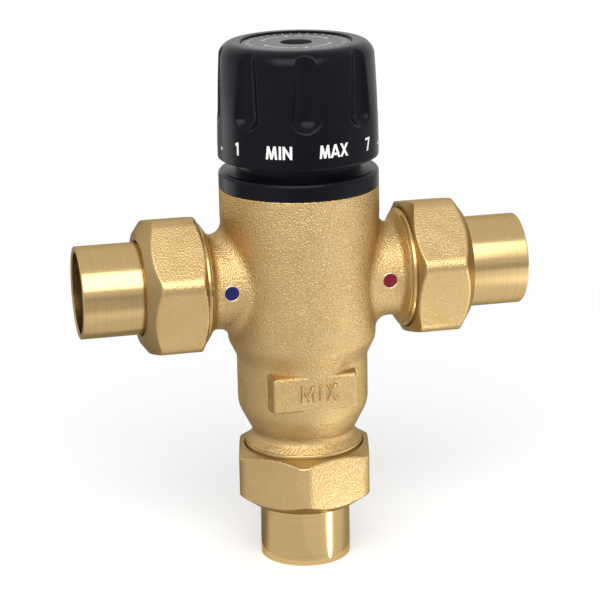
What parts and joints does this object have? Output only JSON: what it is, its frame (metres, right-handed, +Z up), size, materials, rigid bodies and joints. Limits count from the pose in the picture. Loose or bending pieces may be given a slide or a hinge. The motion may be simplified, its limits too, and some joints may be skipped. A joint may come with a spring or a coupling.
{
  "type": "thermostatic mixing valve",
  "caption": "Forged brass three-way mixing valve with solder unions on two side inlets and a lower outlet, a fluted black knob on top, and a wax-driven shuttle inside.",
  "frame": {"origin": "centre of the mixed outlet's mouth, at the foot of the valve", "axes": "+Z up along the valve's axis towards the knob; +X towards the hot inlet; -Y is the front with the raised plate"},
  "size_m": [0.1248, 0.044, 0.1474],
  "materials": {
    "forged_brass": "sand-textured satin, as forged and tumbled",
    "turned_brass": "fine turned satin",
    "black_plastic": "smooth moulded gloss",
    "grey_disc": "satin moulded disc",
    "white_print": "matt white ink",
    "cold_blue": "enamel",
    "hot_red": "enamel",
    "stainless_steel": "drawn wire and stamped strip",
    "shuttle_plastic": "glass-filled, matt",
    "seal_rubber": "smooth rubber",
    "gasket_fibre": "pressed fibre sheet",
    "element_copper": "drawn copper"
  },
  "bodies": {
    "housing": {"valve_body": "forged_brass", "cold_marker": "cold_blue", "hot_marker": "hot_red", "bonnet": "turned_brass", "bonnet_o_ring": "seal_rubber", "index_collar": "black_plastic", "return_spring": "stainless_steel", "cold_union_nut": "forged_brass", "cold_tailpiece": "turned_brass", "cold_gasket": "gasket_fibre", "hot_union_nut": "forged_brass", "hot_tailpiece": "turned_brass", "hot_gasket": "gasket_fibre", "mix_union_nut": "forged_brass", "mix_tailpiece": "turned_brass", "mix_gasket": "gasket_fibre"},
    "control": {"knob": "black_plastic", "knob_disc": "grey_disc", "knob_screw": "stainless_steel", "spindle": "turned_brass", "spindle_o_rings": "seal_rubber", "thrust_washer": "white_print", "spindle_circlip": "stainless_steel"},
    "carrier": {"carrier": "turned_brass", "carrier_retaining_ring": "stainless_steel", "overtravel_spring": "stainless_steel"},
    "plunger": {"overtravel_plunger": "turned_brass", "element_piston": "stainless_steel"},
    "shuttle": {"shuttle": "shuttle_plastic", "shuttle_o_ring": "seal_rubber", "wax_element": "element_copper"}
  },
  "joints": [
    {"name": "knob_turn", "type": "hinge", "parent": "housing", "child": "control", "pos_m": [0, 0, 0.0818], "axis": [0, 0, 1], "range_deg": [-153, 167.6]},
    {"name": "carrier_lift", "type": "slide", "parent": "housing", "child": "carrier", "axis": [0, 0, 1], "range_m": [-0.00086, 0.00094]},
    {"name": "overtravel", "type": "slide", "parent": "carrier", "child": "plunger", "axis": [0, 0, 1], "range_m": [0, 0.0012], "stiffness_N_per_m": 5000, "springref_m": -0.004, "deforming": ["overtravel_spring"]},
    {"name": "element_stroke", "type": "slide", "parent": "plunger", "child": "shuttle", "axis": [0, 0, 1], "range_m": [-0.0012, 0.0008], "stiffness_N_per_m": 3000, "springref_m": 0.00013, "deforming": ["return_spring"]}
  ],
  "couplings": [
    {"joint": "carrier_lift", "follows": "knob_turn", "m_per_rad": 0.00031831}
  ]
}
